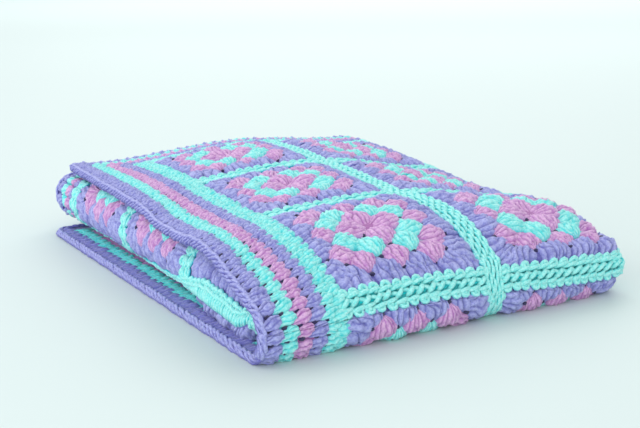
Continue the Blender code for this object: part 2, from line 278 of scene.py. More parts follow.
def fold(flat, along):
    """Middle of the cloth, folded: arrays of places in the flat cloth to points."""
    flat, along = np.broadcast_arrays(np.asarray(flat, float), np.asarray(along, float))
    front_x, outwards = read_section(FRONT, flat)
    radius = outwards * FRONT_PITCH
    twist = FOLD_LINE_TWIST * ease((front_x - TWIST_START) / TWIST_LENGTH)
    past_fold = along - FOLD_LINE_SHIFT - twist
    upper = past_fold >= 0
    angle = np.clip(past_fold / radius, -math.pi / 2, math.pi / 2)
    run = np.maximum(np.abs(past_fold) - math.pi / 2 * radius, 0.0)
    run = np.where(upper, run, run * LOWER_STRETCH)
    y = np.where(run > 0, run, -radius * np.cos(angle))

    front_layer = MID_LAYER + outwards * np.sin(angle)
    lower_x, lower_layer = read_section(LOWER, flat)
    far = ease((run - ROLL_OPENS_AT) / ROLL_OPENS_OVER)
    upper_x, upper_layer = blend(read_section(NEAR, flat), read_section(UPPER, flat), far)
    in_roll = within(flat, *ROLL_SPAN)
    bend = (run + np.maximum(angle, 0.0) * FRONT_PITCH) / ROLL_SINK_LENGTH
    sink = blend(ease((run - SINK_START) / SINK_LENGTH), ease(bend), in_roll)
    settle = ease(run / SETTLE_LENGTH)
    past_bend = np.where(upper, 0.0, run) + (RECEDE_ANGLE - angle) * FRONT_PITCH
    recede = np.where(upper & (run > 0), 0.0, ease(past_bend / RECEDE_LENGTH))
    layer = np.where(upper, blend(front_layer, upper_layer, sink),
                     blend(front_layer, lower_layer, settle))
    x = np.where(upper, blend(front_x, upper_x, sink), front_x)
    x = x + (lower_x - front_x) * recede
    drift = UPPER_DRIFT * np.maximum(y, 0.0)
    held = np.where(flat < RIGHT_TURN + RIGHT_TURN_LENGTH / 2, 1.0, np.clip(x / FOLDED_WIDTH, 0, 1))
    x = x + np.where(upper, drift * held, 0.0)
    z = CLOTH_THICKNESS / 2 + layer * (FRONT_PITCH + lift(x, y) / TOP_LAYER)
    return np.stack([x - MIDDLE_X, y + FOLD_LINE_Y - MIDDLE_Y, z], axis=-1)


def normals(flat, along, step=0.0003):
    """Unit normals of the folded cloth, out of the blanket on its outer panel."""
    flat = np.clip(flat, 2 * step, FLAT_SIDE - 2 * step)
    across = fold(flat + step, along) - fold(flat - step, along)
    length = fold(flat, along + step) - fold(flat, along - step)
    return unit(np.cross(across, length))


def pillow(flat, along):
    """Rise of the squares over their joins, on the outer panel above the table."""
    across = (flat - BORDER) / SQUARE
    length = along / SQUARE
    inside = (across > 0) & (across < SQUARES_A_SIDE) & (np.abs(length) < SQUARES_A_SIDE / 2)
    crown = np.abs(np.sin(math.pi * across) * np.sin(math.pi * length)) ** PILLOW_POWER
    rise = np.where(inside, PILLOW_RISE * crown - JOIN_SINK, 0.0)
    return (rise * ease((PILLOW_END - flat) / PILLOW_FADE)
            * ease((along - PILLOW_START) / PILLOW_FADE))


def round_corners(flat, along):
    """The cloth's square corners rounded off."""
    a = CORNER_RADIUS - np.minimum(flat, FLAT_SIDE - flat)
    b = CORNER_RADIUS - (HALF_LENGTH - np.abs(along))
    near = (a > 0) & (b > 0)
    shrink = np.maximum(a, b) / np.maximum(np.hypot(a, b), TINY)
    side, end = CORNER_RADIUS - a * shrink, CORNER_RADIUS - b * shrink
    flat = np.where(near, np.where(flat < FLAT_SIDE / 2, side, FLAT_SIDE - side), flat)
    along = np.where(near, np.sign(along) * (HALF_LENGTH - end), along)
    return flat, along


def stretched(flat, along):
    """Places on the cloth as it lies, a little uneven, from places in its even pattern."""
    right = np.interp(flat, *STRETCH) * within(along, *STRETCH_SPAN)
    from_middle = along - BULGE_MIDDLE
    reach = np.where(from_middle > 0, BULGE_FAR, BULGE_NEAR)
    bulge = np.interp(flat, *BULGE) * ease(1 - np.abs(from_middle) / reach)
    flat = flat + bulge * BORDER_BULGE + right
    along = along - FRONT_PULL * within(flat, *PULL_FLAT_SPAN) * within(along, *PULL_SPAN)
    near_join = ease(1 - np.abs(along) / JOIN_RISE_REACH) * (flat < JOIN_RISE_END)
    along = along + FRONT_JOIN_RISE * near_join
    below = within(along, *UNDER_SLIDE_SPAN) * (flat < UNDER_SLIDE_END)
    along = along + UNDER_JOIN_SLIDE * below

    end, fade = ROLL_SLIDE_FADE
    slid = blend(ROLL_SLIDE_FAR, ROLL_SLIDE_NEAR, ease((end - along) / fade))
    (end, fade), (start, fade_in) = BAND_TUCK_FLAT, BAND_TUCK_START
    slid = slid - ROLL_BAND_TUCK * ease((end - flat) / fade) * ease((along - start) / fade_in)
    return round_corners(flat + slid * within(flat, *ROLL_SLIDE_SPAN), along)


def place(local):
    """Points and normals in the fold of places (flat, along, height) in the cloth's pattern."""
    flat, along, height = np.moveaxis(local, -1, 0)
    flat, along = stretched(flat, along)
    normal = normals(flat, along)
    rise = (pillow(flat, along) + height)[..., None]
    return fold(flat, along) + normal * rise, normal


# --- yarn

# Yarn colours; the last is a dark colour of painted shade for the openings
PURPLE, MINT, PINK, PAINTED_SHADE = range(4)
RANDOM = np.random.default_rng(20)
# Spread of what differs from stitch to stitch: places and heights in centimetres, radii as shares
PLACE_SPREAD = 0.02
HEIGHT_SPREAD = 0.018
RADIUS_SPREAD = 0.05
SIDES = 5
CORE_SIDES = 4
END_REACH = 0.55
TEXTURE_RANGE = 400


def lay(template, origin, axis_a, axis_b, squash=1.0, face=1):
    """The template's strands at each origin: (flat, along, height) and radius, in metres.

    A template's strands are rows of (a, b, height, radius), in centimetres. face is 1 for the
    blanket's outside and -1 for its inside.
    """
    count = len(origin)
    origin, axis_a, axis_b = (v[:, None, None] for v in (origin, axis_a, axis_b))
    shift = RANDOM.normal(0, PLACE_SPREAD, (count, 1, 1, 2)) * CM
    shift = shift + RANDOM.normal(0, PLACE_SPREAD, (count, len(template), 1, 2)) * CM
    lift_by = RANDOM.normal(0, HEIGHT_SPREAD, (count, len(template), 1)) * CM
    swell = 1 + RANDOM.normal(0, RADIUS_SPREAD, (count, len(template), 1))
    a, b, height, radius = np.moveaxis(template[None], -1, 0)
    spot = origin + axis_a * a[..., None] + axis_b * b[..., None] + shift
    height = (height * squash * CM + lift_by) * face
    local = np.concatenate([spot, height[..., None]], -1)
    points = template.shape[1]
    radii = radius * swell * CM * (0.5 + 0.5 * squash)
    return local.reshape(-1, points, 3), radii.reshape(-1, points)


def skin(body, ends, u, v_low, v_high, deep=None):
    """Vertices, quads, triangles and UVs of closed skins through rings of points.

    body holds count x rings x sides points, and ends the two end points of each skin.
    Each vertex has a fourth number, its share of the deep colour, which paints shade.
    """
    count, rings, sides = body.shape[:3]
    verts = np.concatenate([body.reshape(count, -1, 3), ends], 1)
    shade_shares = np.zeros((*verts.shape[:2], 1))
    if deep is not None:
        shade_shares[:, :-2, 0] = deep.reshape(count, -1)
    verts = np.concatenate([verts, shade_shares], -1)
    here = np.arange(rings * sides).reshape(rings, sides)
    there = np.roll(here, -1, 1)
    quads = np.stack([here[:-1], there[:-1], there[1:], here[1:]], -1).reshape(-1, 4)
    first, last = (np.full(sides, here.size + end) for end in (0, 1))
    tris = np.concatenate([np.stack([there[0], here[0], first], -1),
                           np.stack([here[-1], there[-1], last], -1)])
    start = (np.arange(count) * verts.shape[1])[:, None, None]

    def joined(shape, corners):
        return np.stack([np.stack([np.broadcast_to(x, shape) for x in corner], -1)
                         for corner in corners], -2).reshape(-1, 2)

    low, high = u[:, :-1], u[:, 1:]
    quad_uv = joined((count, rings - 1, sides),
                     [(low, v_low), (low, v_high), (high, v_high), (high, v_low)])
    end_u = u[:, [0, -1]]
    tri_uv = joined((count, 2, sides),
                    [(end_u, v_high), (end_u, v_low), (end_u, (v_low + v_high) / 2)])
    return (verts.reshape(-1, 4), (quads[None] + start).reshape(-1, 4),
            (tris[None] + start).reshape(-1, 3), quad_uv, tri_uv)


def tube(local, radii, sides, face=1):
    """Closed tubes round the strands; face says on which side of the cloth they are seen."""
    centres, ups = place(local)
    count = len(radii)
    tangents = unit(np.gradient(centres, axis=1))
    sideways = unit(np.cross(tangents, ups))
    rises = np.cross(sideways, tangents)
    angles = np.arange(sides) * 2 * math.pi / sides
    ring = (np.cos(angles)[:, None] * sideways[:, :, None]
            + np.sin(angles)[:, None] * rises[:, :, None])
    body = centres[:, :, None] + ring * radii[:, :, None, None]
    reach = tangents * radii[..., None] * END_REACH
    ends = np.stack([centres[:, 0] - reach[:, 0], centres[:, -1] + reach[:, -1]], 1)
    length = np.linalg.norm(np.diff(centres, axis=1), axis=-1) / CM
    u = np.concatenate([np.zeros((count, 1)), np.cumsum(length, 1)], 1)
    u += RANDOM.uniform(0, TEXTURE_RANGE, (count, 1))
    # Strands seen from the cloth's inside have their painted underside shade turned to the other side
    v_low = np.arange(sides) / sides + (0.5 if face < 0 else 0.0)
    return skin(body, ends, u[..., None], v_low, v_low + 1 / sides)


def yarn(template, where, axis_a, axis_b, colour, sides=SIDES, deep=0.0, face=1, **options):
    """Yarn group of the template's strands at each origin."""
    made = tube(*lay(template, where, axis_a, axis_b, face=face, **options), sides, face)
    # Share of the deep colour, painted shade, the same over the whole group
    made[0][:, 3] = deep
    return made, colour


def linked(name, data):
    """New object in the scene."""
    made = bpy.data.objects.new(name, data)
    bpy.context.scene.collection.objects.link(made)
    return made


def mesh_from(name, verts, quads, tris, uvs, materials, slots):
    """Mesh object from arrays, its quads first."""
    points = np.column_stack([verts[:, :2], np.maximum(verts[:, 2], 0.0)])
    starts = np.concatenate([np.arange(len(quads)) * 4, len(quads) * 4 + np.arange(len(tris)) * 3])
    loops = np.concatenate([quads.ravel(), tris.ravel()])
    mesh = bpy.data.meshes.new(name)
    mesh.vertices.add(len(points))
    mesh.loops.add(len(loops))
    mesh.polygons.add(len(starts))
    mesh.vertices.foreach_set("co", points.astype(np.float32).ravel())
    mesh.loops.foreach_set("vertex_index", loops.astype(np.int32))
    mesh.polygons.foreach_set("loop_start", starts.astype(np.int32))
    mesh.polygons.foreach_set("material_index", slots.astype(np.int32))
    mesh.polygons.foreach_set("use_smooth", np.ones(len(starts), bool))
    mesh.update(calc_edges=True)
    layer = mesh.uv_layers.new(name="yarn")
    layer.uv.foreach_set("vector", uvs.astype(np.float32).ravel())
    # Each vertex's share of painted shade, which the yarn materials read
    shade_shares = mesh.attributes.new("deep", "FLOAT", "POINT")
    shade_shares.data.foreach_set("value", verts[:, 3].astype(np.float32))
    for material in materials:
        mesh.materials.append(material)
    return linked(name, mesh)


def add(name, groups):
    """Add a piece of the blanket, from groups of (skins, colour)."""
    offset = 0
    rows = []
    for (verts, quads, tris, *uvs), colour in groups:
        rows.append((verts, quads + offset, tris + offset, *uvs,
                     np.full(len(quads), colour), np.full(len(tris), colour)))
        offset += len(verts)
    verts, quads, tris, *rest = map(np.concatenate, zip(*rows))
    pieces.append(mesh_from(name, verts, quads, tris, np.concatenate(rest[:2]), YARNS,
                            np.concatenate(rest[2:])))


# --- granny squares

# Rounds of a square, from its centre: places of the clusters' bases and tips, in centimetres.
# Columns: base, tip, greatest half-width, colour
ROUNDS = (
    (0.12, 2.22, 1.12, PINK),
    (1.14, 3.1, 1.05, MINT),
    (2.18, 3.97, 1.03, PINK),
    (3.08, 5.3, 1.19, PURPLE),
)
CLUSTER_PITCH = 2.26
CORNER_REACH = 0.5
CORNER_WIDER = 1.14
LEAN = 0.26
WIDER_ACROSS = 1.06

# A cluster of three double crochets is a puffy shell with a ridge for each leg.
# Columns: place from base (0) to tip (1), share of the half-width, height, share of groove
LOBE_PROFILE = np.array([
    (0.0, 0.34, 0.04, 1.0), (0.14, 0.66, 0.22, 1.0), (0.32, 0.94, 0.44, 1.0),
    (0.5, 1.0, 0.58, 1.0), (0.68, 0.94, 0.6, 1.0), (0.84, 0.72, 0.52, 1.0),
    (0.94, 0.46, 0.38, 1.0), (1.0, 0.28, 0.2, 1.0),
])
FAN_PROFILE = np.array([
    (0.0, 0.4, 0.06, 1.0), (0.12, 0.68, 0.28, 1.0), (0.3, 0.92, 0.5, 1.0),
    (0.55, 0.99, 0.58, 1.0), (0.8, 0.98, 0.46, 1.0), (1.0, 0.96, 0.12, 1.0),
])
BOW_PROFILE = np.array([
    (0.0, 0.34, 0.12, 0.5), (0.1, 0.58, 0.3, 0.7), (0.24, 0.66, 0.36, 0.9),
    (0.36, 0.82, 0.38, 1.0), (0.52, 1.04, 0.52, 0.8), (0.72, 1.02, 0.54, 0.7),
    (0.9, 0.74, 0.42, 0.6), (1.0, 0.4, 0.18, 0.5),
])
CLUSTER_RIDGES = 6
# Rings of a shell and its steps over one ridge
FINE = (14, 4)
COARSE = (7, 2)
BOW_FINE = (11, 4)
BOW_COARSE = (6, 2)
# Share of the deep colour, which is painted shade, on the cloth's inside, and at a shell's rim with
# its falling off
INSIDE_SHADE = 0.5
RIM_SHADE = 0.85
RIM_SHADE_POWER = 9
# Grooves between the ridges: OUTER between two stitches, INNER between the legs of one
GROOVE_SHARE = 0.95
OUTER_GROOVE = 1.35
INNER_GROOVE = 0.8
GROOVE_UNEVEN = 0.15
GROOVE_SWAY = 0.045
GROOVE_SWAYS = 1.2
DOME_POWER = 2.3
CREST_POWER = 0.7
# Small swellings along a ridge, their number and height, and the spread of the ridges' heights
BEADS = 2.6
BEAD_RISE = 0.022
RIDGE_SPREAD = 0.025
# A shell's underside: places across it, its height in centimetres, its band of the UV map, which lies
# in the painted shade
UNDERSIDE = (-0.55, 0.0, 0.55)
UNDER_HEIGHT = -0.06
UNDER_BAND = (0.7, 0.8)
# Spread of the shells' heights and places in centimetres, and reach of a tip past the last ring
SINK_SPREAD = 0.02
SHELL_SPREAD = 0.03
TIP_REACH = 0.03
# Halfway the legs of a stitch cross over, so that the ridges step sideways there
CROSS_AT = 0.46
CROSS_LENGTH = 0.16
CROSS_STEP = 0.095
FAN_CROSS_STEP = 0.17
# Diagonal wraps over the legs of each stitch, with a dip before each, two half-widths off, each dip
# painted in shade by a random share.
# Columns: place from base to tip, slant
WRAPS = ((0.26, -0.14), (0.58, 0.2), (0.86, -0.12))
WRAP_STRAY = 0.05
WRAP_HALF = 0.05
WRAP_RISE = 0.06
WRAP_DIP = 1.5
DIP_SHADE_RANGE = (-0.5, 1.0)
# Openings of the cloth between the clusters: on the diagonals, from the centre, in centimetres,
# and past the tip of each cluster, as a share of its length; a dark bead paints the shade in each
OPENINGS = (1.02, 2.02)
CORNER_OPENING = 3.42
CORNER_RAISED = np.array([0.0, 0.0, 0.2, -0.015])
PAST_TIP = 0.06
# Dark bead of painted shade laid low in an opening
SHADE_BEAD = np.array([[(-0.19, 0.0, 0.05, 0.1), (0.0, 0.0, 0.1, 0.18), (0.19, 0.0, 0.05, 0.1)]])


def cluster_table():
    """Clusters of one square: base, tip, half-width, colour and kind, in centimetres."""
    rows = []
    for count, (base_at, tip_at, half, colour) in enumerate(ROUNDS, 1):
        fans = count == len(ROUNDS)
        wider = 1.0 if fans else WIDER_ACROSS
        for cos, sin in ((1, 0), (0, 1), (-1, 0), (0, -1)):
            for index in range(count):
                step = index - (count - 1) / 2
                corner = fans and abs(step) == (count - 1) / 2
                out = math.copysign(CORNER_REACH, step) if corner else 0.0
                ends = ((step * CLUSTER_PITCH, base_at),
                        (step * CLUSTER_PITCH + out - LEAN, tip_at))
                row = [v for t, o in ends
                       for v in ((t * cos - o * sin) * wider, t * sin + o * cos)]
                rows.append((*row, half * (CORNER_WIDER if corner else 1.0), colour, fans))
    return np.array(rows, float)


CLUSTERS = cluster_table()
COLOUR_AND_KIND = slice(5, 7)


def shell_heights(part, column, s, ridges, steps, half, rise, grooved):
    """Heights, in centimetres, of the shells' tops at each ring and column, and their shares of
    painted shade.

    s goes from 1 to -1 across a shell; rise and grooved are the profile's columns at each ring.
    """
    count = len(half)
    groove, across = column / steps, (column % steps) / steps
    ridge = np.minimum(groove.astype(int), ridges - 1)
    nearest = np.round(groove).astype(int)
    depth = np.where(nearest % 2 == 0, OUTER_GROOVE, INNER_GROOVE) * GROOVE_SHARE
    depth = depth * (1 + RANDOM.normal(0, GROOVE_UNEVEN, (count, ridges + 1)))[:, nearest]
    crest = np.sin(math.pi * across) ** CREST_POWER
    height = rise[:, None] * (1 - np.abs(s) ** DOME_POWER) ** 0.5
    deep = half[..., None] / ridges * grooved[:, None]
    height = height - deep * (depth * (1 - crest))[:, None]
    swell = RANDOM.normal(0, RIDGE_SPREAD, (count, ridges))[:, ridge]
    phase = RANDOM.uniform(0, 1, (count, ridges))[:, ridge]
    beads = BEAD_RISE * np.sin(2 * math.pi * (BEADS * part[:, None] + phase[:, None]))
    height = height + (swell[:, None] + beads) * crest
    # Painted shade darkens each shell towards its rim
    shade_share = np.zeros_like(height) + RIM_SHADE * np.abs(s) ** RIM_SHADE_POWER
    for place_at, slant in WRAPS:
        stray = RANDOM.normal(0, WRAP_STRAY, (count, ridges // 2 + 1))
        stray = stray[:, (groove / 2).astype(int)]
        at = place_at + slant * (groove / 2 % 1 - 0.5) + stray[:, None]
        wrap = np.exp(-((part[:, None] - at) / WRAP_HALF) ** 2)
        dip = np.exp(-((part[:, None] - at) / WRAP_HALF + 2) ** 2)
        height = height + WRAP_RISE * rise[:, None] / rise.max() * (wrap - WRAP_DIP * dip)
        # Random share of painted shade in each dip
        dip_shade = RANDOM.uniform(*DIP_SHADE_RANGE, (count, ridges))[:, None, ridge]
        shade_share = np.maximum(shade_share, dip * np.clip(dip_shade, 0, 1))
    return height, shade_share


def shells(start, end, half, profile, squash=1.0, face=1, ridges=CLUSTER_RIDGES, detail=FINE,
           cross=CROSS_STEP):
    """Clusters from their bases to their tips, as closed ridged shells."""
    rings, steps = detail
    count = len(start)
    part = np.linspace(0, 1, rings)
    width, rise, grooved = (np.interp(part, profile[:, 0], profile[:, i]) for i in (1, 2, 3))
    column = np.arange(ridges * steps + 1)
    widths = half[:, None] * width
    s = 1 - 2 * column / column[-1]
    height, deep = shell_heights(part, column, s, ridges, steps, widths, rise, grooved)
    height[..., [0, -1]] = np.minimum(height[..., [0, -1]], 0.0)
    turns = RANDOM.uniform(0, 1, (count, ridges + 1))
    sway = GROOVE_SWAY * np.sin(2 * math.pi * (GROOVE_SWAYS * part[:, None] + turns[:, None]))
    crossed = np.tanh((part - CROSS_AT) / CROSS_LENGTH * 2)[:, None]
    sway = sway + RANDOM.normal(0, cross, (count, 1, ridges + 1)) * crossed
    grooves = column / steps
    low = np.minimum(grooves.astype(int), ridges - 1)
    sway = blend(sway[..., low], sway[..., low + 1], grooves - low)
    s = s + sway * (1 - s**2)
    under = np.broadcast_to(np.array(UNDERSIDE), (count, rings, len(UNDERSIDE)))
    s = np.concatenate([s, under], -1)
    height = np.concatenate([height, np.full(under.shape, UNDER_HEIGHT)], -1) * squash * CM
    height = (height + RANDOM.normal(0, SINK_SPREAD, (count, 1, 1)) * CM) * face

    axis = end - start
    length = np.linalg.norm(axis, axis=1, keepdims=True)
    across = np.stack([axis[:, 1], -axis[:, 0]], -1) / length * CM * face
    shift = RANDOM.normal(0, SHELL_SPREAD, (count, 1, 1, 2)) * CM
    spot = (start[:, None, None] + axis[:, None, None] * part[:, None, None] + shift
            + across[:, None, None] * (widths[:, :, None] * s)[..., None])
    local = np.concatenate([spot, height[..., None]], -1)
    ends = np.concatenate([np.stack([start, end], 1) + shift[:, 0],
                           height[:, [0, -1], len(column) // 2, None] * 0.5], -1)
    ends[:, 1, :2] += axis * TIP_REACH
    body = place(local.reshape(-1, 3))[0].reshape(local.shape)
    # The underside is painted all in shade, and the cloth's inside partly
    deep = np.concatenate([deep, np.ones(under.shape)], -1)
    deep = np.maximum(deep, INSIDE_SHADE if face < 0 else 0.0)

    # v runs from 0 to a half over each ridge, so that the grooves take painted shade and the crests
    # their own colour
    top = (column[:-1] % steps) / steps / 2
    v_low, v_high = (np.concatenate([row, np.full(len(UNDERSIDE) + 1, v)])
                     for row, v in zip((top, top + 0.5 / steps), UNDER_BAND))
    u = part[:, None] * length[:, None] / CM + RANDOM.uniform(0, TEXTURE_RANGE, (count, 1, 1))
    return skin(body, place(ends)[0], u, v_low, v_high, deep)


def squares(columns, rows, keep=lambda f, a: f > 0, squash=1.0, detail=FINE):
    """Yarn groups of the clusters in the given columns and rows of squares, where keep is true."""
    groups = []
    centres = np.array([(BORDER + (column + 0.5) * SQUARE, (row + 0.5) * SQUARE)
                        for row in rows for column in columns])
    for colour, fans in sorted({tuple(row) for row in CLUSTERS[:, COLOUR_AND_KIND]}):
        table = CLUSTERS[(CLUSTERS[:, COLOUR_AND_KIND] == (colour, fans)).all(1)]
        start, end = ((centres[:, None] + table[:, at:at + 2] * CM).reshape(-1, 2)
                      for at in (0, 2))
        kept = keep(*((start + end) / 2).T)
        if kept.any():
            profile, cross = (FAN_PROFILE, FAN_CROSS_STEP) if fans else (LOBE_PROFILE, CROSS_STEP)
            made = shells(start[kept], end[kept], np.tile(table[:, 4], len(centres))[kept],
                          profile, squash, detail=detail, cross=cross)
            groups.append((made, int(colour)))
    # Dark beads of painted shade in the openings between the clusters
    inner = CLUSTERS[CLUSTERS[:, -1] == 0]
    tips, axes = inner[:, 2:4], inner[:, 2:4] - inner[:, 0:2]
    diagonals = np.array([(x, y) for x in (-1, 1) for y in (-1, 1)])
    low = np.concatenate([tips + axes * PAST_TIP, *(diagonals * at for at in OPENINGS)])
    for template, spots in ((SHADE_BEAD, low), (SHADE_BEAD + CORNER_RAISED, diagonals * CORNER_OPENING)):
        spots = (centres[:, None] + spots * CM).reshape(-1, 2)
        spots = spots[keep(*spots.T)]
        if len(spots) and detail == FINE:
            ways = np.tile([[CM, 0.0]], (len(spots), 1))
            groups.append(yarn(template, spots, ways, ways[:, ::-1], PAINTED_SHADE, squash=squash))
    return groups


# --- joins, borders and edges

JOIN_PITCH = 0.78
# One bump of a join, a along the join, b across it: a small arch and its filling
JOIN_BUMP = np.array([
    [(-0.23, 0.44, 0.12, 0.12), (-0.24, 0.56, 0.22, 0.15), (-0.15, 0.67, 0.28, 0.16),
     (0.0, 0.71, 0.3, 0.165), (0.15, 0.67, 0.28, 0.16), (0.24, 0.56, 0.22, 0.15),
     (0.23, 0.44, 0.12, 0.12)],
    [(0.05, 0.36, 0.08, 0.12), (0.03, 0.42, 0.15, 0.16), (0.02, 0.47, 0.19, 0.18),
     (0.0, 0.52, 0.2, 0.18), (0.0, 0.56, 0.19, 0.17), (0.0, 0.6, 0.16, 0.15),
     (0.0, 0.64, 0.1, 0.12)],
])
JOIN_ROPE = np.array([
    [(-0.54, 0.32, 0.12, 0.11), (-0.28, 0.35, 0.28, 0.145), (0.0, 0.4, 0.33, 0.155),
     (0.28, 0.45, 0.28, 0.145), (0.54, 0.48, 0.12, 0.11)],
])
JOIN_MIDDLE = np.array([
    [(-0.29, -0.22, 0.12, 0.14), (-0.16, -0.13, 0.28, 0.19), (0.0, 0.0, 0.33, 0.205),
     (0.14, 0.13, 0.28, 0.19), (0.25, 0.22, 0.12, 0.14)],
    [(-0.48, 0.14, 0.1, 0.12), (-0.33, 0.12, 0.2, 0.15), (-0.18, 0.06, 0.24, 0.16),
     (-0.05, -0.02, 0.2, 0.15), (0.06, -0.08, 0.1, 0.12)],
])
# The cord-like lines under a join's stitches, which join() and column_join() colour all in painted
# shade, and the parallel ropes of a column join
JOIN_CORE = np.array([
    [(a, b, height, radius - less) for a, less in (
        (-0.45, 0.01), (-0.22, 0.0), (0.0, 0.0), (0.22, 0.0), (0.45, 0.01))]
    for b, height, radius in ((0.0, -0.08, 0.29), (0.45, -0.06, 0.23), (-0.45, -0.06, 0.23))
])
COLUMN_ROPE = np.array([
    [(-0.56, -0.06, 0.1, 0.1), (-0.28, -0.03, 0.26, 0.13), (0.0, 0.0, 0.31, 0.14),
     (0.28, 0.03, 0.26, 0.13), (0.56, 0.06, 0.1, 0.1)],
])
ROPE_STAGGER = 0.38
ROPE_APART = 0.24
COLUMN_ROPES = np.concatenate([
    COLUMN_ROPE + np.array([ROPE_STAGGER * (rank % 2), ROPE_APART * rank, 0.0, 0.0])
    for rank in (-2, -1, 0, 1, 2)
])
SMALL_BUMP = np.array([1.0, 0.86, 0.8, 0.9])
PLAIN_CORE = np.array([1.0, 1.0, -0.5, 0.62])
UNDER_SQUASH = 0.4
BAND_PITCH = 0.66
BAND_MIDDLE = np.array([
    [(a - 0.18, -0.42, 0.06, 0.12), (a - 0.15, -0.22, 0.2, 0.15), (a - 0.1, 0.0, 0.25, 0.16),
     (a - 0.06, 0.22, 0.2, 0.15), (a - 0.02, 0.42, 0.06, 0.12)]
    for a in (0.0, 0.33)
])

BORDER_PITCH = 0.8
# One border stitch: a lump across its row, its left end a low narrow wing. Half-width, and
# place of its two ends inwards from the row's middle and along it, in centimetres
BOW_HALF = 0.43
BOW_BASE = (-0.8, -0.26)
BOW_TIP = (0.66, 0.14)
BOW_RIDGES = 3
INSIDE_SCALE = 0.62
INSIDE_STAGGER = 0.13
BOW_OPENING = (-0.16, -0.46)
# Border rows: place of the stitches' middle from the edge, in centimetres, and colour
BORDER_ROWS = ((0.84, PURPLE), (1.84, MINT), (2.88, PINK), (3.86, PURPLE), (4.72, MINT))
EDGE_PITCH = 0.52
EDGE_STITCH = np.array([
    [(-0.44, 0.3, 0.1, 0.1), (-0.22, 0.27, 0.2, 0.14), (0.0, 0.21, 0.24, 0.155),
     (0.22, 0.14, 0.21, 0.14), (0.44, 0.09, 0.08, 0.1)],
    [(-0.44, 0.05, -0.02, 0.1), (-0.22, 0.06, -0.1, 0.14), (0.0, 0.12, -0.19, 0.155),
     (0.22, 0.2, -0.2, 0.14), (0.44, 0.27, -0.12, 0.1)],
    [(-0.3, 0.1, 0.12, 0.11), (-0.14, 0.05, 0.08, 0.14), (0.0, 0.03, 0.02, 0.15),
     (0.14, 0.05, -0.05, 0.14), (0.3, 0.1, -0.1, 0.11)],
])


def run_of(axis, at, start, end, pitch):
    """Origins and the two axes of stitches that fill a line; axis is the way that it runs."""
    count = max(int(round((end - start) / (pitch * CM))), 1)
    spots = start + (np.arange(count) + 0.5) * (end - start) / count
    fixed, one, nought = np.full(count, at), np.full(count, CM), np.zeros(count)
    if axis == "along":
        rows = (fixed, spots), (nought, one), (one, nought)
    else:
        rows = (spots, fixed), (one, nought), (nought, one)
    return tuple(np.stack(row, -1) for row in rows)


def join(axis, at, start, end, squash=1.0, middle=JOIN_MIDDLE, sides=(1, -1), pitch=JOIN_PITCH,
         core=JOIN_CORE):
    """Yarn groups of a join between squares."""
    line = where, run_axis, cross_axis = run_of(axis, at, start, end, pitch)
    groups = [yarn(middle, *line, MINT, squash=squash),
              # The core takes the deep colour in full: painted shade between the stitches
              yarn(core, *line, MINT, CORE_SIDES, deep=1.0, squash=squash)]
    for side in sides:
        inward = cross_axis * side
        groups += [yarn(JOIN_BUMP, where, run_axis, inward, MINT, squash=squash),
                   yarn(JOIN_ROPE, where, run_axis * side, inward, MINT, squash=squash)]
    return groups


def column_join(at, start, end):
    """Yarn groups of a join that runs along the blanket: five ropes side by side."""
    line = where, run_axis, cross_axis = run_of("along", at, start, end, JOIN_PITCH)
    # The core takes the deep colour in full: painted shade between the ropes
    return [yarn(COLUMN_ROPES, *line, MINT), yarn(JOIN_CORE, *line, MINT, CORE_SIDES, deep=1.0),
            *(yarn(JOIN_BUMP * SMALL_BUMP, where, run_axis, cross_axis * side, MINT)
              for side in (1, -1))]


def bows(where, inward, onward, colour, squash=1.0, face=1, detail=BOW_FINE):
    """Yarn groups of border stitches: inward and onward are the axes across and along the row."""
    if face < 0:
        where = where + inward * INSIDE_STAGGER * (np.arange(len(where)) % 2 * 2 - 1)[:, None]
    base, tip = (where + inward * a + onward * b for a, b in (BOW_BASE, BOW_TIP))
    half = np.full(len(where), BOW_HALF if face > 0 else BOW_HALF * INSIDE_SCALE)
    made = [(shells(base, tip, half, BOW_PROFILE, squash, face, BOW_RIDGES, detail), colour)]
    # A dark bead of painted shade in the opening beside each border stitch
    if detail == BOW_FINE and face > 0:
        gaps = where + inward * BOW_OPENING[0] + onward * BOW_OPENING[1]
        made.append(yarn(SHADE_BEAD, gaps, inward, onward, PAINTED_SHADE, squash=squash))
    return made


def plain_join(axis, at, start, end):
    """Flattened join on the side that lies on the table."""
    line = run_of(axis, at, start, end, JOIN_PITCH)
    return yarn(JOIN_CORE * PLAIN_CORE, *line, MINT, CORE_SIDES)


def border(edge, start, end, squash=1.0, face=1, detail=BOW_FINE):
    """Border rows with mitred corners. edge is 0 at the free edge of the outer panel, and 1 or -1
    at the back end of the upper or the lower half."""
    groups = []
    pitch = BORDER_PITCH if face > 0 else BORDER_PITCH * INSIDE_SCALE
    for at, colour in BORDER_ROWS:
        at, mitre = at * CM, HALF_LENGTH - at * CM
        if edge:
            where, onward, inward = run_of("flat", edge * mitre, max(start, at), end, pitch)
            onward, inward = onward * edge, inward * -edge
        else:
            where, onward, inward = run_of("along", at, max(start, -mitre), min(end, mitre), pitch)
        groups += bows(where, inward, onward, colour, squash, face, detail)
    return groups


def edge_run(axis, at, inward, start, end, face=1):
    """Rope-like edge of the cloth."""
    where, run_axis, cross_axis = run_of(axis, at, start, end, EDGE_PITCH)
    return yarn(EDGE_STITCH, where, run_axis, cross_axis * inward, PURPLE, face=face)


# --- materials

YARN_SURFACE = {"Roughness": 0.85, "Specular IOR Level": 0.25,
                "Sheen Weight": 0.25, "Sheen Roughness": 0.6}
TURNS_A_CM = 2.2
PLIES = 3.0
FIBRE_NOISE = {"Scale": 1500.0, "Detail": 4.0, "Roughness": 0.7}
DYE_NOISE = {"Scale": 700.0, "Detail": 4.0}
